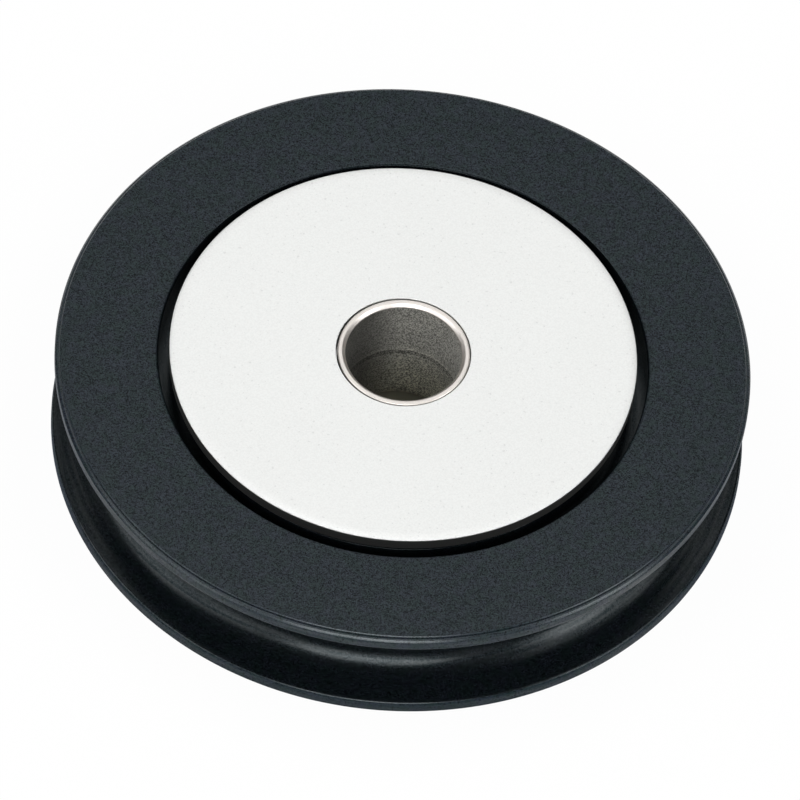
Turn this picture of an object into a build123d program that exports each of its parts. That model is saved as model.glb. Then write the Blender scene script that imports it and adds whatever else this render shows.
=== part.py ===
"""Wire rope sheave: a grooved wheel that turns on caged rollers round a bushed steel hub.

The wheel axis is Z and the origin is the centre of the pin bore, midway between the two sides.
All sizes are in millimetres.
"""

import os
from math import cos, radians, sin, tan

from build123d import *

# ---- Driving dimensions ----

RIM_RADIUS = 38.1  # 76.2 mm across the flanges
SHEAVE_WIDTH = 13.6  # flange face to flange face
OVERALL_WIDTH = 15.9  # side plate to side plate
BORE_RADIUS = 6.4  # running fit on a 12.7 mm pin

# Rope groove: a round root between two straight flanks with rounded lips.
GROOVE_RADIUS = 4.5
GROOVE_DEPTH = 5.9
FLANK_ANGLE = 13.0  # each flank from the plane of the wheel, in degrees
LIP_RADIUS = 0.35

# Small step turned round the outer edge of each flange.
RIM_STEP_WIDTH = 0.5
RIM_STEP_DEPTH = 0.3
RIM_EDGE = 0.2

# Recess in each face of the wheel, which the side plate covers, with a deep relief round its edge.
RECESS_RADIUS = 26.8
RECESS_DEPTH = 1.45
RECESS_CHAMFER = 0.35
RELIEF_WIDTH = 1.9
RELIEF_DEPTH = 3.8

# Side plates.
PLATE_RADIUS = 25.58
PLATE_THICKNESS = 1.5
PLATE_EDGE = 0.12
PLATE_BORE_GAP = 0.15  # between the plate and the bushing

# Bushings: two equal halves that meet at the middle of the wheel.
BUSHING_WALL = 0.85
MOUTH_DEPTH = 0.35  # opens the bore's mouth, so that the pin goes in easily
MOUTH_WIDTH = 0.35
BUSHING_EDGE = 0.1

# Roller bearing between the hub and the wheel.
ROLLER_COUNT = 14
ROLLER_RADIUS = 2.5
ROLLER_LENGTH = 10.0
ROLLER_EDGE = 0.3
INNER_RACE_RADIUS = 12.0
RACE_EDGE = 0.4
RUNNING_GAP = 0.05
CAGE_WALL = 2.4
CAGE_GAP = 0.1  # round each roller, and at each end of it
CAGE_RIM = 1.1  # solid band past each end of the pockets

# Thrust washers between the side plates and the recess floors.
WASHER_INNER_RADIUS = 18.2
WASHER_OUTER_RADIUS = 24.6
THRUST_GAP = 0.1

# ---- Worked out from them ----

BUSHING_RADIUS = BORE_RADIUS + BUSHING_WALL
PITCH_RADIUS = INNER_RACE_RADIUS + RUNNING_GAP + ROLLER_RADIUS
OUTER_RACE_RADIUS = PITCH_RADIUS + ROLLER_RADIUS + RUNNING_GAP
FACE_HEIGHT = SHEAVE_WIDTH / 2
FLOOR_HEIGHT = FACE_HEIGHT - RECESS_DEPTH
RELIEF_HEIGHT = FACE_HEIGHT - RELIEF_DEPTH
STEP_RADIUS = RIM_RADIUS - RIM_STEP_WIDTH
STEP_HEIGHT = FACE_HEIGHT - RIM_STEP_DEPTH
PLATE_TOP = OVERALL_WIDTH / 2
PLATE_BASE = PLATE_TOP - PLATE_THICKNESS
GROOVE_CENTRE = RIM_RADIUS - GROOVE_DEPTH + GROOVE_RADIUS
FLANK_FOOT = GROOVE_CENTRE - GROOVE_RADIUS * sin(radians(FLANK_ANGLE))
FLANK_FOOT_HEIGHT = GROOVE_RADIUS * cos(radians(FLANK_ANGLE))
LIP_HEIGHT = FLANK_FOOT_HEIGHT + (RIM_RADIUS - FLANK_FOOT) * tan(radians(FLANK_ANGLE))
CORNER_TOLERANCE = 0.01

SIDES = (("upper", 1), ("lower", -1))

os.makedirs("parts", exist_ok=True)


def corners(sketch, radius, height):
    """The corners of a section at this radius and at this height above or below the middle."""
    return sketch.vertices().filter_by(
        lambda corner: abs(corner.X - radius) < CORNER_TOLERANCE
        and abs(abs(corner.Y) - height) < CORNER_TOLERANCE
    )


def ring_section(inner, outer, base, top, mode=Mode.ADD):
    """A rectangle of a ring's section, between two radii and two heights."""
    with Locations(((inner + outer) / 2, (base + top) / 2)):
        Rectangle(outer - inner, abs(top - base), mode=mode)


def save(piece, name):
    """Label a finished piece and write it to its own file."""
    piece.label = name
    export_step(piece, f"parts/{name}.step")


# ---- Sheave: one turned wheel with its rope groove, its two recesses and its roller track ----

with BuildPart() as sheave:
    with BuildSketch(Plane.XZ) as section:
        ring_section(OUTER_RACE_RADIUS, RIM_RADIUS, -FACE_HEIGHT, FACE_HEIGHT)
        with Locations((GROOVE_CENTRE, 0)):
            Circle(GROOVE_RADIUS, mode=Mode.SUBTRACT)
        Polygon(
            (FLANK_FOOT, FLANK_FOOT_HEIGHT),
            (RIM_RADIUS, LIP_HEIGHT),
            (RIM_RADIUS, -LIP_HEIGHT),
            (FLANK_FOOT, -FLANK_FOOT_HEIGHT),
            align=None,
            mode=Mode.SUBTRACT,
        )
        for _, up in SIDES:
            face, floor, relief, step = (
                up * height for height in (FACE_HEIGHT, FLOOR_HEIGHT, RELIEF_HEIGHT, STEP_HEIGHT)
            )
            ring_section(OUTER_RACE_RADIUS, RECESS_RADIUS, floor, face, Mode.SUBTRACT)
            ring_section(RECESS_RADIUS - RELIEF_WIDTH, RECESS_RADIUS, relief, floor, Mode.SUBTRACT)
            ring_section(STEP_RADIUS, RIM_RADIUS, step, face, Mode.SUBTRACT)
        fillet(corners(section, RIM_RADIUS, LIP_HEIGHT), LIP_RADIUS)
        chamfer(corners(section, RIM_RADIUS, STEP_HEIGHT), RIM_EDGE)
        chamfer(corners(section, RECESS_RADIUS, FACE_HEIGHT), RECESS_CHAMFER)
        chamfer(corners(section, OUTER_RACE_RADIUS, FLOOR_HEIGHT), RACE_EDGE)
    revolve(axis=Axis.Z)
save(sheave.part, "sheave")

# ---- Side plates: flat steel discs that stand proud of the wheel's faces ----

for side, up in SIDES:
    with BuildPart() as side_plate:
        with BuildSketch(Plane.XZ) as section:
            ring_section(BUSHING_RADIUS + PLATE_BORE_GAP, PLATE_RADIUS, PLATE_BASE, PLATE_TOP)
            chamfer(corners(section, PLATE_RADIUS, PLATE_TOP), PLATE_EDGE)
            if up < 0:
                mirror(about=Plane.XZ, mode=Mode.REPLACE)
        revolve(axis=Axis.Z)
    save(side_plate.part, f"side_plate_{side}")

# ---- Bushings: thin sleeves pressed into the inner race from each side, flared at the mouth ----

for side, up in SIDES:
    with BuildPart() as bushing:
        with BuildSketch(Plane.XZ) as section:
            ring_section(BORE_RADIUS, BUSHING_RADIUS, 0, PLATE_TOP)
            chamfer(corners(section, BORE_RADIUS, PLATE_TOP), MOUTH_DEPTH, MOUTH_WIDTH)
            chamfer(corners(section, BUSHING_RADIUS, PLATE_TOP), BUSHING_EDGE)
            chamfer(corners(section, BORE_RADIUS, 0), BUSHING_EDGE)
            if up < 0:
                mirror(about=Plane.XZ, mode=Mode.REPLACE)
        revolve(axis=Axis.Z)
    save(bushing.part, f"bushing_{side}")

# ---- Inner race: the hardened ring that the rollers run on, and that spaces the plates ----

with BuildPart() as inner_race:
    with BuildSketch(Plane.XZ) as section:
        ring_section(BUSHING_RADIUS, INNER_RACE_RADIUS, -PLATE_BASE, PLATE_BASE)
        chamfer(corners(section, INNER_RACE_RADIUS, PLATE_BASE), RACE_EDGE)
    revolve(axis=Axis.Z)
save(inner_race.part, "inner_race")

# ---- Thrust washers: they keep the wheel central between the plates ----

for side, up in SIDES:
    with BuildPart() as thrust_washer:
        with BuildSketch(Plane.XZ) as section:
            base = FLOOR_HEIGHT + THRUST_GAP
            ring_section(WASHER_INNER_RADIUS, WASHER_OUTER_RADIUS, base, PLATE_BASE)
            if up < 0:
                mirror(about=Plane.XZ, mode=Mode.REPLACE)
        revolve(axis=Axis.Z)
    save(thrust_washer.part, f"thrust_washer_{side}")

# ---- Roller cage: a ring with a pocket for each roller, closed at both ends ----

pocket_length = ROLLER_LENGTH + 2 * CAGE_GAP
cage_length = pocket_length + 2 * CAGE_RIM

with BuildPart() as roller_cage:
    with BuildSketch(Plane.XY.offset(-cage_length / 2)):
        Circle(PITCH_RADIUS + CAGE_WALL / 2)
        Circle(PITCH_RADIUS - CAGE_WALL / 2, mode=Mode.SUBTRACT)
    extrude(amount=cage_length)
    with BuildSketch(Plane.XY.offset(-pocket_length / 2)):
        with PolarLocations(PITCH_RADIUS, ROLLER_COUNT):
            Circle(ROLLER_RADIUS + CAGE_GAP)
    extrude(amount=pocket_length, mode=Mode.SUBTRACT)
save(roller_cage.part, "roller_cage")

# ---- Rollers: plain cylinders with broken edges, one in each pocket ----

for number, place in enumerate(PolarLocations(PITCH_RADIUS, ROLLER_COUNT), start=1):
    with BuildPart() as roller:
        with BuildSketch(Plane.XY.offset(-ROLLER_LENGTH / 2)):
            with Locations(place):
                Circle(ROLLER_RADIUS)
        extrude(amount=ROLLER_LENGTH)
        chamfer(roller.edges().filter_by(GeomType.CIRCLE), ROLLER_EDGE)
    save(roller.part, f"roller_{number:02d}")
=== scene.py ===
"""Dresses the wire rope sheave: its turned pieces, the finish of every piece, and a plain studio.

Every size is in millimetres until it reaches Blender, which works in metres.
The turned pieces are drawn as half sections, radius along X and height along Z, and spun round Z.
"""

from math import atan2, cos, pi, radians, sin, tan

import bpy
from mathutils import Matrix, Vector


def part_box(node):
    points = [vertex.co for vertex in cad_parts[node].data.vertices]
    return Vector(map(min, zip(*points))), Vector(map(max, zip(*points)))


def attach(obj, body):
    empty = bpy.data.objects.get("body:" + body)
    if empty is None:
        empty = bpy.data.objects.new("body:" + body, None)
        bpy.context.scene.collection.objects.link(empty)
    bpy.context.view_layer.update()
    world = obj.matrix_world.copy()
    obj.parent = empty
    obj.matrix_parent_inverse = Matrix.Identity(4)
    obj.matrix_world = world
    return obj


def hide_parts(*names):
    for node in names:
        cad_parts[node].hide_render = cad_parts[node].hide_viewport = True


bl_info = {
    "name": "Wire Rope Sheave",
    "version": (1, 0, 0),
    "blender": (4, 5, 0),
    "location": "View3D > Sidebar > Sheave",
    "description": "Builds a wire rope sheave with its bearing, its finishes and a studio",
    "category": "Add Mesh",
}

MM = 0.001
EDGE_STEPS = 4  # facets of a rounded edge
GROOVE_STEPS = 36  # facets of the groove's root
SMOOTH_ANGLE = radians(30)
MERGE_DISTANCE = 0.001 * MM
SENSOR_WIDTH = 36  # the camera's sensor, in millimetres
VIEW_END = 10  # how far the camera sees, in metres
GRAIN_DEPTH = 0.01  # of the bump on the wheel and on the bushings
RIM_SOFTENING = 1 / 6  # how much of the rim's chamfer each of its corners is rounded by
FACE_SOFTENING = 1 / 4  # the same for the chamfer round a flange's face

# The surround: soft bright areas on a dark sphere. Each is its direction round the wheel, from the
# front to the right, its height above the floor, how far it spreads and its brightness. The angles
# are in degrees.
SURROUND = (
    ("front panel", -13, 38, 14, 6.9),
    ("front panel, right half", 8, 38, 14, 7.3),
    ("front left", -40, 32, 22, 1.4),
    ("left", -65, 32, 22, 1.9),
    ("far left", -88, 38, 20, 2.7),
    ("back left", -135, 36, 24, 0.6),
    ("front right", 30, 32, 22, 0.5),
    ("right window", 65, 30, 18, 5.4),
    ("right", 92, 42, 20, 2.2),
    ("high right", 70, 52, 16, 1.0),
    ("back right", 140, 48, 16, 0.8),
    ("back", 180, 33, 16, 1.95),
    ("overhead", 180, 70, 24, 1.7),
    ("overhead left", -150, 70, 22, 0.8),
    ("overall", 0, 90, 180, 0.03),
)

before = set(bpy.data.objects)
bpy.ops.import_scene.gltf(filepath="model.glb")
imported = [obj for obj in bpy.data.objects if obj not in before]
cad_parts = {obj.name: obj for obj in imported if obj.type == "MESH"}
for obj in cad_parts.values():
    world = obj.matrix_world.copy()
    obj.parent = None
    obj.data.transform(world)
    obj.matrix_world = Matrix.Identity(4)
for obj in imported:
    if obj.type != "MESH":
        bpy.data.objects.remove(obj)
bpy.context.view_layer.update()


def node_size(node):
    """The base, the radius and the top of a round CAD node, in millimetres."""
    low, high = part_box(node)
    return low.z / MM, high.x / MM, high.z / MM


_, RIM_RADIUS, FACE_HEIGHT = node_size("sheave")
PLATE_BASE, PLATE_RADIUS, PLATE_TOP = node_size("side_plate_upper")
_, BUSHING_RADIUS, _ = node_size("bushing_upper")
TRACK_RADIUS = 17.1  # the wheel's bore, which the rollers run in

# Soft steps across the floor, each from where it starts to where it ends. All but the last run
# outwards from the wheel's centre.
FLOOR_OPEN = (8, 16)  # the floor's own colour takes over from the shade under the pin bore
FLOOR_GLOW = (7, 10)  # the white that the bore mirrors ends
FLOOR_SEEN = (0.6 * RIM_RADIUS, 0.95 * RIM_RADIUS)  # the camera sees white from here on
# Inside the next step the floor round the rim is painted dark, as painted shade that the wheel mirrors.
FLOOR_MIRRORED = (1.02 * RIM_RADIUS, 1.38 * RIM_RADIUS)  # the wheel mirrors white from here on
# That painted shade reaches less far from the wheel in front than at its sides.
FLOOR_FRONT = (-30, -12)  # along Y, from the front of the wheel to its sides
FRONT_LEAD = 5  # how much nearer to the wheel the mirrored white starts in front

# ---- Modelling by hand ----


def clear_selection():
    """Deselect every object, so that an operator acts only on what is picked next."""
    if bpy.context.object and bpy.context.object.mode != "OBJECT":
        bpy.ops.object.mode_set(mode="OBJECT")
    bpy.ops.object.select_all(action="DESELECT")


def smooth_turned(piece):
    """Shade a turned piece: smooth round its curves, flat over its faces."""
    bpy.ops.object.shade_smooth_by_angle(angle=SMOOTH_ANGLE)
    bpy.ops.object.modifier_add(type="WEIGHTED_NORMAL")
    weighted = piece.modifiers[-1]
    weighted.keep_sharp = True
    bpy.ops.object.modifier_apply(modifier=weighted.name)


class Section:
    """A closed half section, drawn corner by corner in edit mode and spun into a turned solid."""

    def __init__(self, name, radius, height, rounding=0):
        clear_selection()
        bpy.ops.mesh.primitive_plane_add(size=MM, location=(radius * MM, 0, height * MM))
        self.piece = bpy.context.object
        self.piece.name = self.piece.data.name = name
        bpy.ops.object.transform_apply(location=True, rotation=True, scale=True)
        bpy.ops.object.mode_set(mode="EDIT")
        bpy.ops.mesh.merge(type="CENTER")
        self.radius, self.height = radius, height
        self.corners = [(radius, height, rounding)]

    def line(self, radius, height, rounding=0):
        """Draw a straight line to a corner. Its rounding starts that far back from the corner."""
        along = ((radius - self.radius) * MM, 0, (height - self.height) * MM)
        bpy.ops.mesh.extrude_vertices_move(TRANSFORM_OT_translate={"value": along})
        self.radius, self.height = radius, height
        self.corners.append((radius, height, rounding))

    def arc(self, centre_radius, radius, height, steps):
        """Draw an arc to a place, round a centre on the middle plane and on its inner side."""
        start = atan2(self.height, centre_radius - self.radius)
        end = atan2(height, centre_radius - radius)
        bpy.ops.mesh.spin(
            steps=steps,
            angle=start - end,
            center=(centre_radius * MM, 0, 0),
            axis=(0, 1, 0),
        )
        self.radius, self.height = radius, height

    def pick(self, radius, height):
        """Select the one corner at a place."""
        bpy.ops.mesh.select_all(action="DESELECT")
        bpy.ops.object.mode_set(mode="OBJECT")
        place = Vector((radius * MM, 0, height * MM))
        min(self.piece.data.vertices, key=lambda v: (v.co - place).length).select = True
        bpy.ops.object.mode_set(mode="EDIT")

    def close(self):
        """Join the two ends of the outline and round the corners that ask for it."""
        self.line(*self.corners[0][:2])
        bpy.ops.mesh.select_all(action="SELECT")
        bpy.ops.mesh.remove_doubles(threshold=MERGE_DISTANCE)
        for radius, height, rounding in self.corners:
            if rounding:
                self.pick(radius, height)
                bpy.ops.mesh.bevel(
                    offset=rounding * MM, segments=EDGE_STEPS, profile=0.5, affect="VERTICES"
                )

    def turn(self, steps):
        """Spin the closed outline right round the axis and shade it as turned metal."""
        self.close()
        bpy.ops.mesh.select_all(action="SELECT")
        bpy.ops.mesh.spin(steps=steps, angle=2 * pi, center=(0, 0, 0), axis=(0, 0, 1))
        bpy.ops.mesh.select_all(action="SELECT")
        bpy.ops.mesh.remove_doubles(threshold=MERGE_DISTANCE)
        bpy.ops.mesh.normals_make_consistent(inside=False)
        bpy.ops.object.mode_set(mode="OBJECT")
        smooth_turned(self.piece)
        return self.piece


def copy_below(piece, name):
    """A copy with its own mesh, mirrored through the wheel's middle plane."""
    clear_selection()
    piece.select_set(True)
    bpy.context.view_layer.objects.active = piece
    bpy.ops.object.duplicate(linked=False)
    below = bpy.context.object
    below.name = below.data.name = name
    bpy.ops.object.mode_set(mode="EDIT")
    bpy.ops.mesh.select_all(action="SELECT")
    bpy.ops.transform.mirror(constraint_axis=(False, False, True), center_override=(0, 0, 0))
    bpy.ops.mesh.remove_doubles(threshold=MERGE_DISTANCE)
    bpy.ops.mesh.normals_make_consistent(inside=False)
    bpy.ops.object.mode_set(mode="OBJECT")
    smooth_turned(below)
    return below


def stand_for(piece, node, body, material):
    """Finish a piece, let it ride on a body and show it in place of a CAD node."""
    piece.data.materials.clear()
    piece.data.materials.append(material)
    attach(piece, body)
    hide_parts(node)


def finish_node(node, material):
    """Give a CAD node its finish."""
    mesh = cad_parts[node].data
    mesh.materials.clear()
    mesh.materials.append(material)


# ---- Shader nodes ----


class Value:
    """A number, colour or vector that varies over a surface. Arithmetic on it adds Math nodes."""

    def __init__(self, shader, socket):
        self.shader, self.socket = shader, socket

    def math(self, operation, *inputs):
        """A Math node with these inputs."""
        return self.shader.node("Math", {"operation": operation}, dict(enumerate(inputs)))

    def __add__(self, other):
        return self.math("ADD", self, other)

    __radd__ = __add__

    def __sub__(self, other):
        return self.math("SUBTRACT", self, other)

    def __rsub__(self, other):
        return self.math("SUBTRACT", other, self)

    def __mul__(self, other):
        return self.math("MULTIPLY", self, other)

    __rmul__ = __mul__

    def clamped(self):
        """The same value, kept between 0 and 1."""
        return self.shader.node("Clamp", {}, {"Value": self})


class Shader:
    """The node tree of one material or of the world."""

    def __init__(self, tree):
        self.tree = tree

    def node(self, kind, settings, sockets, output=0):
        """Add a node: its type, its settings, then the values or links of its sockets."""
        added = self.tree.nodes.new("ShaderNode" + kind)
        for setting, value in settings.items():
            setattr(added, setting, value)
        self.feed(added, sockets)
        return Value(self, added.outputs[output])

    def feed(self, node, sockets):
        """Give a node's sockets their values or links."""
        for key, value in sockets.items():
            if isinstance(value, Value):
                self.tree.links.new(value.socket, node.inputs[key])
            else:
                node.inputs[key].default_value = value

    def place(self):
        """Where a point of the piece is, as a vector in metres."""
        return self.node("TexCoord", {}, {}, "Object")

    def part(self, vector, axis):
        """The part of a vector along X, Y or Z."""
        return self.node("SeparateXYZ", {}, {"Vector": vector}, axis)

    def length(self, vector):
        """How long a vector is."""
        return self.node("VectorMath", {"operation": "LENGTH"}, {0: vector}, "Value")

    def along(self, vector, direction):
        """How far a vector reaches in a direction."""
        return self.node("VectorMath", {"operation": "DOT_PRODUCT"}, {0: vector, 1: direction}, "Value")

    def reach(self):
        """How far a point of the piece is from the wheel's axis, in metres."""
        flat = self.node("VectorMath", {"operation": "MULTIPLY"}, {0: self.place(), 1: (1, 1, 0)})
        return self.length(flat)

    def blend(self, factor, low, high):
        """A colour between two others."""
        return self.node("Mix", {"data_type": "RGBA"}, {0: factor, 6: low, 7: high}, 2)

    def noise(self, size, detail=2):
        """A soft random value round 0.5, in blotches of a size in millimetres."""
        scale = 1 / (size * MM)
        scaled = self.node("Mapping", {}, {"Vector": self.place(), "Scale": (scale, scale, scale)})
        return self.node("TexNoise", {}, {"Vector": scaled, "Scale": 1, "Detail": detail}, "Fac")

    def speckle(self, size, contrast, detail=2):
        """Such a noise in stronger contrast, kept between 0 and 1."""
        return ((self.noise(size, detail) - 0.5) * contrast + 0.5).clamped()

    def turning(self, size, drift):
        """Such a noise in rings round the axis. They fade in and out along the drift."""
        place = self.place()
        across, back, height = (self.part(place, axis) for axis in "XYZ")
        fine, slow = 1 / (size * MM), 1 / (drift * MM)
        rings = self.node(
            "CombineXYZ",
            {},
            {"X": self.reach() * fine + across * slow, "Y": height * fine + back * slow},
        )
        return self.node("TexNoise", {}, {"Vector": rings, "Scale": 1, "Detail": 2}, "Fac")

    def step_between(self, value, low, high):
        """0 below one value, 1 above another, and a smooth rise between them."""
        return self.node(
            "MapRange",
            {"interpolation_type": "SMOOTHSTEP"},
            {"Value": value, "From Min": low, "From Max": high},
        )

    def rise(self, value, low, high):
        """The same for a value in metres, between two limits in millimetres."""
        return self.step_between(value, low * MM, high * MM)

    def above(self, low, high):
        """0 below one height of the piece, in millimetres, and 1 above another."""
        return self.rise(self.part(self.place(), "Z"), low, high)

    def outer(self, low, high):
        """0 round the middle plane and 1 far from it, either side, with a rise between two heights."""
        return (self.above(low, high) + 1 - self.above(-high, -low)).clamped()


def rgba(colour, brightness=1):
    """A colour with its alpha, made brighter or darker."""
    return (*(part * brightness for part in colour[:3]), 1)


def new_material(name):
    """A material, its shader and its Principled BSDF."""
    material = bpy.data.materials.new(name)
    material.use_nodes = True
    return material, Shader(material.node_tree), material.node_tree.nodes["Principled BSDF"]


# ---- Finishes ----


def black_anodised():
    """Hard black coat over turned aluminium: a fine grain that breaks up the gloss."""
    look = bpy.context.scene.sheave_finishes
    size = bpy.context.scene.sheave_sizes
    step = FACE_HEIGHT - size.rim_step_depth / MM
    step_radius = RIM_RADIUS - size.rim_step_width / MM
    material, shader, surface = new_material("black_anodised")
    grain = shader.speckle(size=0.13, contrast=4.2, detail=5)
    coarse = shader.speckle(size=0.3, contrast=4, detail=3)
    cloud = shader.speckle(size=1.2, contrast=4, detail=5)
    tint = shader.blend(cloud, rgba(look.wheel_colour, 2), rgba(look.wheel_tint, 2))
    # The places where light and shade are painted into the coat's colour: the flat faces, the step
    # round each rim with its chamfer, and the land between that step and the groove's lip. The groove,
    # the recesses and the track are the rest.
    face = shader.outer(FACE_HEIGHT - 0.12, FACE_HEIGHT - 0.02)
    edge = shader.outer(step - 0.3, step - 0.2)
    reach = shader.reach()
    rim_step = shader.rise(reach, step_radius - 0.15, step_radius - 0.02) * edge
    land = shader.rise(reach, RIM_RADIUS - 0.25, RIM_RADIUS - 0.05) * (1 - edge)
    # Painted shade and painted highlight: the colour is painted darkest in the groove, the recesses and
    # the track, lighter on the rim's step, and lightest on its land.
    depth = 0.4 + face * 0.6 + rim_step * 1.2 + land * 1.6
    marks = (shader.turning(size=0.45, drift=7) - 0.5) * 1.6 * (1 - face)
    polish = 0.2 + grain * 0.4 + coarse * 0.2 + marks + rim_step * 0.35 - land * 0.4
    bump = shader.node("Bump", {}, {"Height": grain, "Strength": 0.4, "Distance": GRAIN_DEPTH * MM})
    shader.feed(
        surface,
        {
            "Base Color": shader.blend((grain * 0.7 + coarse * 0.35) * depth, rgba((0, 0, 0)), tint),
            "Roughness": look.wheel_roughness + (grain - 0.5) * 0.05 + (coarse - 0.5) * 0.03,
            "Normal": bump,
            "IOR": look.wheel_gloss,
            "Specular Tint": rgba(look.wheel_sheen),
            "Coat Weight": polish.clamped(),
            "Coat Roughness": look.wheel_roughness,
            "Coat IOR": look.wheel_polish,
        },
    )
    return material


def plate_steel():
    """Bead blasted stainless: pale, nearly even, with a few tiny darker specks and its edge painted
    dark as shade.
    """
    look = bpy.context.scene.sheave_finishes
    material, shader, surface = new_material("plate_steel")
    cloud = shader.noise(size=12, detail=3)
    grain = shader.speckle(size=0.2, contrast=5)
    specks = shader.step_between(shader.noise(size=0.4, detail=1), 0.68, 0.74) * 0.6
    tone = cloud * 0.3 + grain * 0.7
    plain = shader.blend(tone, rgba(look.plate_colour, 0.96), rgba(look.plate_colour, 1.03))
    specked = shader.blend(specks, plain, rgba(look.plate_colour, 0.8))
    # Painted shade: below the outer face, on the edge and the inner face, the colour is painted dark.
    face = shader.outer(PLATE_TOP - 0.25, PLATE_TOP - 0.15)
    shader.feed(
        surface,
        {
            "Base Color": shader.blend(face, rgba(look.plate_colour, 0.2), specked),
            "Roughness": look.plate_roughness + (cloud - 0.5) * 0.06,
            "Metallic": 1,
        },
    )
    return material


def bushing_steel():
    """Turned stainless, bright on its end, with a worn and speckled film down the bore, and painted
    light and shade in the bore.
    """
    look = bpy.context.scene.sheave_finishes
    material, shader, surface = new_material("bushing_steel")
    cloud = shader.noise(size=2.5, detail=3)
    grain = shader.speckle(size=0.17, contrast=5)
    bump = shader.node("Bump", {}, {"Height": grain, "Strength": 0.15, "Distance": GRAIN_DEPTH * MM})
    end = shader.outer(PLATE_TOP - 0.6, PLATE_TOP - 0.3)
    bright = shader.blend(grain, rgba(look.bushing_colour, 0.97), rgba(look.bushing_colour, 1.02))
    # Painted light: the lower half of the bore is painted lighter than the upper half.
    film = shader.blend(shader.above(-5, 2), rgba(look.bore_painted_light_colour), rgba(look.bore_colour))
    # The two bushings meet at the middle: a soft painted shade just below the meeting, and a faint
    # painted glint over it.
    line = shader.above(-0.9, -0.5) - shader.above(-0.1, 0.05)
    glint = shader.above(-0.1, 0.05) - shader.above(0.2, 0.7)
    # Random wear, with the painted shade and the painted glint of the meeting added in.
    wear_and_joint_light = cloud * 0.3 + grain * 0.7 - line * 0.25 + glint * 0.15
    # The worn film carries the painted light of the lower half and of the meeting.
    worn = shader.blend(wear_and_joint_light.clamped(), rgba(look.bore_colour, 0.2), film)
    # Painted shade: the bore is painted darkest on its left side.
    dark = shader.rise(shader.part(shader.place(), "X") * -1, -0.5, 5) * 0.75
    bore = shader.blend(dark, worn, rgba(look.bore_colour, 0.05))
    shader.feed(
        surface,
        {
            "Base Color": shader.blend(end, bore, bright),
            "Roughness": look.bushing_roughness + (1 - end) * 0.35 + (grain - 0.5) * 0.1,
            "Metallic": 1,
            "Normal": bump,
        },
    )
    return material


def race_steel():
    """Ground bearing steel with a faint cloud."""
    look = bpy.context.scene.sheave_finishes
    material, shader, surface = new_material("race_steel")
    cloud = shader.noise(size=3)
    colour = shader.blend(cloud, rgba(look.race_colour, 0.9), rgba(look.race_colour))
    shader.feed(surface, {"Base Color": colour, "Roughness": 0.2 + cloud * 0.1, "Metallic": 1})
    return material


def moulded(name, colour):
    """Moulded bearing polymer with a soft mottle."""
    material, shader, surface = new_material(name)
    mottle = shader.noise(size=1.5, detail=3)
    shader.feed(
        surface,
        {
            "Base Color": shader.blend(mottle, rgba(colour, 0.85), rgba(colour, 1.1)),
            "Roughness": 0.45 + (mottle - 0.5) * 0.15,
        },
    )
    return material


# ---- What a user may change ----


def length(name, description, default):
    """A length property, in metres, given in millimetres."""
    return bpy.props.FloatProperty(
        name=name, description=description, default=default * MM, min=0, unit="LENGTH", precision=5
    )


def angle(name, description, default):
    """An angle property, given in degrees."""
    return bpy.props.FloatProperty(
        name=name, description=description, default=radians(default), subtype="ANGLE"
    )


def colour(name, description, default):
    """A colour property."""
    return bpy.props.FloatVectorProperty(
        name=name, description=description, default=default, subtype="COLOR", min=0, max=1
    )


def share(name, description, default):
    """A share property, from 0 to 1."""
    return bpy.props.FloatProperty(
        name=name, description=description, default=default, min=0, max=1, subtype="FACTOR"
    )


def number(name, description, default, most):
    """A plain number property, from 0 up."""
    return bpy.props.FloatProperty(
        name=name, description=description, default=default, min=0, max=most
    )


class SheaveSizes(bpy.types.PropertyGroup):
    """The sizes of the turned pieces."""

    groove_radius: length("Groove radius", "Radius of the groove's root", 4.5)
    groove_depth: length("Groove depth", "From the rim to the groove's root", 5.9)
    flank_angle: angle("Flank angle", "Each flank from the plane of the wheel", 13)
    lip_rounding: length("Lip rounding", "Set-back of the rounding at the groove's mouth", 0.4)
    rim_step_width: length("Rim step width", "Width of the step round each flange", 0.5)
    rim_step_depth: length("Rim step depth", "Depth of the step round each flange", 0.3)
    rim_edge: length("Rim edge", "Chamfer between the step and the rim", 0.26)
    face_edge: length("Face edge", "Chamfer between a flange's face and its step", 0.1)
    recess_radius: length("Recess radius", "Radius of the recess in each face", 26.8)
    recess_depth: length("Recess depth", "Depth of the recess in each face", 1.45)
    recess_rounding: length("Recess rounding", "Rounding round the mouth of the recess", 0.35)
    relief_width: length("Relief width", "Width of the relief round the recess floor", 1.9)
    relief_depth: length("Relief depth", "Depth of the relief below the flange's face", 3.8)
    track_chamfer: length("Track chamfer", "Chamfer at each end of the roller track", 0.4)
    edge_rounding: length("Edge rounding", "Set-back of the roundings on the wheel's edges", 0.1)
    plate_edge: length("Plate edge", "Rounding round a side plate's outer face", 0.06)
    plate_roll: length("Plate roll", "Width of the soft band inside a side plate's edge", 0.7)
    plate_fall: length("Plate fall", "How far a side plate's face falls away in that band", 0.06)
    plate_gap: length("Plate gap", "Gap between a side plate and the bushing", 0.15)
    plate_drift: length("Plate drift", "How far a side plate sits off the centre", 0.05)
    bore_radius: length("Bore radius", "Radius of the pin bore", 6.4)
    mouth_depth: length("Mouth depth", "How far the bore's flared mouth runs down", 0.35)
    mouth_width: length("Mouth width", "How much wider the bore is at its mouth", 0.35)
    bushing_edge: length("Bushing edge", "Chamfer round the end of a bushing", 0.1)
    turn_steps: bpy.props.IntProperty(
        name="Turn steps", description="Flats round a full turn", default=240, min=24, max=720
    )


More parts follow.
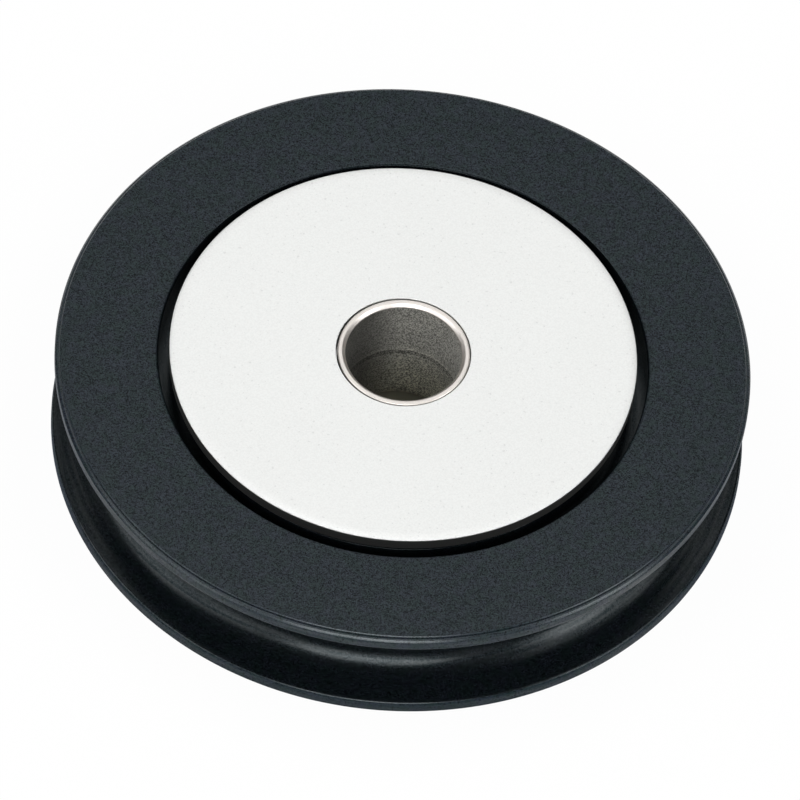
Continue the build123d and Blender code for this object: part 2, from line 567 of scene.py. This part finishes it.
class SheaveFinishes(bpy.types.PropertyGroup):
    """The colours and the gloss of the pieces."""

    wheel_colour: colour("Wheel", "Black anodised wheel", (0.0104, 0.0135, 0.0191))
    wheel_tint: colour("Wheel tint", "Where the black coat turns warmer", (0.0076, 0.0131, 0.0141))
    wheel_sheen: colour("Wheel sheen", "Colour of the black coat's gloss", (0.6, 0.9, 1.0))
    wheel_roughness: share("Wheel roughness", "Roughness of the black coat", 0.2)
    wheel_gloss: number("Wheel gloss", "Refractive index of the black coat", 1.21, 3)
    wheel_polish: number("Wheel polish", "Refractive index of the grain's sealed tips", 1.39, 3)
    plate_colour: colour("Side plates", "Stainless side plates", (0.96, 0.97, 0.955))
    plate_roughness: share("Plate roughness", "Roughness of the side plates", 0.5)
    bushing_colour: colour("Bushings", "Stainless bushings", (0.83, 0.785, 0.74))
    bore_colour: colour("Bore", "Worn film in the upper half of the bore", (0.78, 0.77, 0.72))
    # The lower half of the bore is painted lighter than the upper half, as painted light.
    bore_painted_light_colour: colour("Lower bore", "Film in the lower half of the bore", (1.0, 0.985, 0.87))
    bushing_roughness: share("Bushing roughness", "Roughness of the bushings", 0.42)
    race_colour: colour("Inner race", "Ground bearing steel", (0.62, 0.62, 0.62))
    washer_colour: colour("Thrust washers", "Dark bearing polymer", (0.05, 0.045, 0.04))
    cage_colour: colour("Roller cage", "Pale bearing polymer", (0.78, 0.78, 0.74))
    roller_colour: colour("Rollers", "Amber bearing polymer", (0.45, 0.33, 0.13))


class SheaveStudio(bpy.types.PropertyGroup):
    """The camera, the floor and the light."""

    camera_height: angle("Camera height", "How far above the wheel's plane the camera stands", 52.75)
    camera_roll: angle("Camera roll", "How far the camera leans", 5.35)
    camera_distance: length("Camera distance", "From the wheel's centre to the camera", 1273.6)
    camera_lens: bpy.props.FloatProperty(
        name="Lens", description="Focal length", default=522.35, min=10, unit="CAMERA"
    )
    aim_forward: length("Aim forward", "How far in front of the wheel's centre the camera aims", 0.572)
    aim_right: length("Aim right", "How far to the right of the wheel's centre the camera aims", 0.06)
    floor_colour: colour("Floor", "Plain pale floor", (0.9, 0.9, 0.9))
    floor_shade_colour: colour("Floor shade", "The floor under the pin bore", (0.6, 0.585, 0.48))
    # The floor close round the wheel is painted dark, as painted shade.
    floor_rim_shade_colour: colour("Floor at the rim", "The floor close round the wheel", (0.16, 0.2, 0.27))
    floor_radius: length("Floor size", "Half the width of the floor", 1500)
    floor_white: share("Floor white", "How white the floor looks beyond the wheel", 0.98)
    floor_glow: share("Floor glow", "How white the floor under the pin bore looks in the bore", 0.55)
    surround: number("Surround", "Strength of the whole surround", 0.965, 5)


# ---- Pieces ----


class SHEAVE_OT_wheel(bpy.types.Operator):
    """Turn the wheel, with its rope groove and its recesses"""

    bl_idname = "sheave.wheel"
    bl_label = "Wheel"

    def execute(self, context):
        size = context.scene.sheave_sizes
        groove_radius = size.groove_radius / MM
        lean = size.flank_angle
        centre = RIM_RADIUS - size.groove_depth / MM + groove_radius
        foot = centre - groove_radius * sin(lean)
        foot_height = groove_radius * cos(lean)
        lip_height = foot_height + (RIM_RADIUS - foot) * tan(lean)
        recess = size.recess_radius / MM
        floor = FACE_HEIGHT - size.recess_depth / MM
        relief = recess - size.relief_width / MM
        relief_floor = FACE_HEIGHT - size.relief_depth / MM
        recess_rounding = size.recess_rounding / MM
        track_chamfer = size.track_chamfer / MM
        step = FACE_HEIGHT - size.rim_step_depth / MM
        step_radius = RIM_RADIUS - size.rim_step_width / MM
        rim_edge, face_edge = size.rim_edge / MM, size.face_edge / MM
        rim_rounding = rim_edge * RIM_SOFTENING
        face_rounding = face_edge * FACE_SOFTENING
        lip = size.lip_rounding / MM
        edge = size.edge_rounding / MM
        upper = (
            (TRACK_RADIUS, floor - track_chamfer, edge),
            (TRACK_RADIUS + track_chamfer, floor, edge),
            (relief, floor, edge),
            (relief, relief_floor, 0),
            (recess, relief_floor, 0),
            (recess, FACE_HEIGHT, recess_rounding),
            (step_radius - face_edge, FACE_HEIGHT, face_rounding),
            (step_radius, FACE_HEIGHT - face_edge, face_rounding),
            (step_radius, step, 0),
            (RIM_RADIUS - rim_edge, step, rim_rounding),
            (RIM_RADIUS, step - rim_edge, rim_rounding),
            (RIM_RADIUS, lip_height, lip),
            (foot, foot_height, 0),
        )
        section = Section("wheel", *upper[0])
        for radius, height, rounding in upper[1:]:
            section.line(radius, height, rounding)
        section.arc(centre, foot, -foot_height, GROOVE_STEPS)
        for radius, height, rounding in reversed(upper[:-1]):
            section.line(radius, -height, rounding)
        wheel = section.turn(size.turn_steps)
        stand_for(wheel, "sheave", "sheave", black_anodised())
        return {"FINISHED"}


class SHEAVE_OT_side_plates(bpy.types.Operator):
    """Turn the two flat steel side plates"""

    bl_idname = "sheave.side_plates"
    bl_label = "Side plates"

    def execute(self, context):
        size = context.scene.sheave_sizes
        edge, roll = size.plate_edge / MM, size.plate_roll / MM
        hole = BUSHING_RADIUS + size.plate_gap / MM
        section = Section("plate_upper", hole, PLATE_BASE)
        section.line(hole, PLATE_TOP, edge)
        section.line(PLATE_RADIUS - roll, PLATE_TOP, roll / 2)
        section.line(PLATE_RADIUS, PLATE_TOP - size.plate_fall / MM, edge)
        section.line(PLATE_RADIUS, PLATE_BASE, edge)
        upper = section.turn(size.turn_steps)
        bpy.ops.object.mode_set(mode="EDIT")
        bpy.ops.mesh.select_all(action="SELECT")
        bpy.ops.transform.translate(value=(-size.plate_drift, 0, 0))
        bpy.ops.object.mode_set(mode="OBJECT")
        lower = copy_below(upper, "plate_lower")
        steel = plate_steel()
        for piece, side in ((upper, "upper"), (lower, "lower")):
            stand_for(piece, f"side_plate_{side}", "hub", steel)
        return {"FINISHED"}


class SHEAVE_OT_bushings(bpy.types.Operator):
    """Turn the two bushings with their flared mouths"""

    bl_idname = "sheave.bushings"
    bl_label = "Bushings"

    def execute(self, context):
        size = context.scene.sheave_sizes
        bore, edge = size.bore_radius / MM, size.bushing_edge / MM
        depth, width = size.mouth_depth / MM, size.mouth_width / MM
        section = Section("bushing_upper_turned", bore, 0)
        section.line(bore, PLATE_TOP - depth, edge / 2)
        section.line(bore + width, PLATE_TOP, edge / 2)
        section.line(BUSHING_RADIUS - edge, PLATE_TOP, edge / 2)
        section.line(BUSHING_RADIUS, PLATE_TOP - edge, edge / 2)
        section.line(BUSHING_RADIUS, 0)
        upper = section.turn(size.turn_steps)
        lower = copy_below(upper, "bushing_lower_turned")
        steel = bushing_steel()
        for piece, side in ((upper, "upper"), (lower, "lower")):
            stand_for(piece, f"bushing_{side}", "hub", steel)
        return {"FINISHED"}


class SHEAVE_OT_bearing(bpy.types.Operator):
    """Finish the inner race, the thrust washers, the roller cage and the rollers"""

    bl_idname = "sheave.bearing"
    bl_label = "Bearing"

    def execute(self, context):
        look = context.scene.sheave_finishes
        finish_node("inner_race", race_steel())
        washer = moulded("washer_polymer", look.washer_colour)
        finish_node("thrust_washer_upper", washer)
        finish_node("thrust_washer_lower", washer)
        finish_node("roller_cage", moulded("cage_polymer", look.cage_colour))
        roller = moulded("roller_polymer", look.roller_colour)
        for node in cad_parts:
            if node.startswith("roller_") and node != "roller_cage":
                finish_node(node, roller)
        return {"FINISHED"}


class SHEAVE_OT_studio(bpy.types.Operator):
    """Lay the floor, light the scene from all round, and stand the camera"""

    bl_idname = "sheave.studio"
    bl_label = "Studio"

    def execute(self, context):
        studio = context.scene.sheave_studio
        self.lay_floor(studio)
        self.set_surround(context.scene, studio)
        self.stand_camera(context.scene, studio)
        context.scene.view_settings.view_transform = "Standard"
        return {"FINISHED"}

    @staticmethod
    def lay_floor(studio):
        """A wide pale plane that carries the white of the background."""
        clear_selection()
        level = (0, 0, -PLATE_TOP * MM)
        bpy.ops.mesh.primitive_plane_add(size=2 * studio.floor_radius, location=level)
        floor = bpy.context.object
        floor.name = floor.data.name = "floor"
        bpy.ops.object.transform_apply(location=True, rotation=True, scale=True)
        material, shader, surface = new_material("floor")
        place = shader.place()
        reach = shader.length(place)
        # Painted shade: the floor close round the rim is painted dark, less far out in front of the
        # wheel.
        front = 1 - shader.rise(shader.part(place, "Y"), *FLOOR_FRONT)
        mirrored = shader.rise(reach + front * (FRONT_LEAD * MM), *FLOOR_MIRRORED)
        outer = shader.blend(mirrored, rgba(studio.floor_rim_shade_colour), rgba(studio.floor_colour))
        shade = rgba(studio.floor_shade_colour)
        ground = shader.blend(shader.rise(reach, *FLOOR_OPEN), shade, outer)
        shader.feed(surface, {"Base Color": ground, "Roughness": 0.8})
        camera, glossy, transmission = (
            shader.node("LightPath", {}, {}, f"Is {kind} Ray")
            for kind in ("Camera", "Glossy", "Transmission")
        )
        seen = camera * shader.rise(reach, *FLOOR_SEEN)
        glow = (1 - shader.rise(reach, *FLOOR_GLOW)) * studio.floor_glow
        reflected = (glossy + transmission) * (mirrored + glow)
        white_share = (seen + reflected).clamped() * studio.floor_white
        white = shader.node("Emission", {}, {})
        bare = Value(shader, surface.outputs[0])
        mixed = shader.node("MixShader", {}, {0: white_share, 1: bare, 2: white})
        output = material.node_tree.nodes["Material Output"]
        shader.feed(output, {"Surface": mixed})
        floor.data.materials.append(material)

    @staticmethod
    def set_surround(scene, studio):
        """The world: every soft bright area of the surround, added up."""
        world = bpy.data.worlds.new("studio")
        world.use_nodes = True
        scene.world = world
        shader = Shader(world.node_tree)
        direction = shader.node("TexCoord", {}, {}, "Generated")
        light = 0
        for name, turn, height, spread, brightness in SURROUND:
            turn, height = radians(turn), radians(height)
            towards = (sin(turn) * cos(height), -cos(turn) * cos(height), sin(height))
            near = shader.step_between(shader.along(direction, towards), cos(radians(spread)), 1)
            near.socket.node.label = name
            light = light + near * brightness
        background = world.node_tree.nodes["Background"]
        shader.feed(background, {"Color": (1, 1, 1, 1), "Strength": light * studio.surround})

    @staticmethod
    def stand_camera(scene, studio):
        """A long lens that looks down on the wheel from the front."""
        height, roll = studio.camera_height, studio.camera_roll
        turn = Matrix.Rotation(pi / 2 - height, 4, "X") @ Matrix.Rotation(roll, 4, "Z")
        aim = Vector((studio.aim_right, -studio.aim_forward, 0))
        towards = Vector((0, -cos(height), sin(height)))
        clear_selection()
        bpy.ops.object.camera_add(
            location=aim + towards * studio.camera_distance, rotation=turn.to_euler()
        )
        camera = bpy.context.object
        camera.name = "camera"
        camera.data.lens = studio.camera_lens
        camera.data.sensor_width = SENSOR_WIDTH
        camera.data.clip_end = VIEW_END
        scene.camera = camera


PIECES = (
    SHEAVE_OT_wheel,
    SHEAVE_OT_side_plates,
    SHEAVE_OT_bushings,
    SHEAVE_OT_bearing,
    SHEAVE_OT_studio,
)
GROUPS = (
    ("sheave_sizes", SheaveSizes),
    ("sheave_finishes", SheaveFinishes),
    ("sheave_studio", SheaveStudio),
)


class SHEAVE_PT_panel(bpy.types.Panel):
    """The sheave's pieces, sizes and finishes"""

    bl_idname = "SHEAVE_PT_panel"
    bl_label = "Wire rope sheave"
    bl_space_type = "VIEW_3D"
    bl_region_type = "UI"
    bl_category = "Sheave"

    def draw(self, context):
        for piece in PIECES:
            self.layout.operator(piece.bl_idname)
        for name, group in GROUPS:
            box = self.layout.box()
            for setting in group.__annotations__:
                box.prop(getattr(context.scene, name), setting)


def register():
    """Register the classes and hang their settings on the scene."""
    for _, group in GROUPS:
        bpy.utils.register_class(group)
    for piece in (*PIECES, SHEAVE_PT_panel):
        bpy.utils.register_class(piece)
    for name, group in GROUPS:
        setattr(bpy.types.Scene, name, bpy.props.PointerProperty(type=group))


def unregister():
    """Take the settings off the scene and unregister the classes."""
    for name, _ in GROUPS:
        delattr(bpy.types.Scene, name)
    for piece in reversed((*PIECES, SHEAVE_PT_panel)):
        bpy.utils.unregister_class(piece)
    for _, group in reversed(GROUPS):
        bpy.utils.unregister_class(group)


def main():
    """Build every piece."""
    register()
    bpy.ops.sheave.wheel()
    bpy.ops.sheave.side_plates()
    bpy.ops.sheave.bushings()
    bpy.ops.sheave.bearing()
    bpy.ops.sheave.studio()


if __name__ == "__main__":
    main()
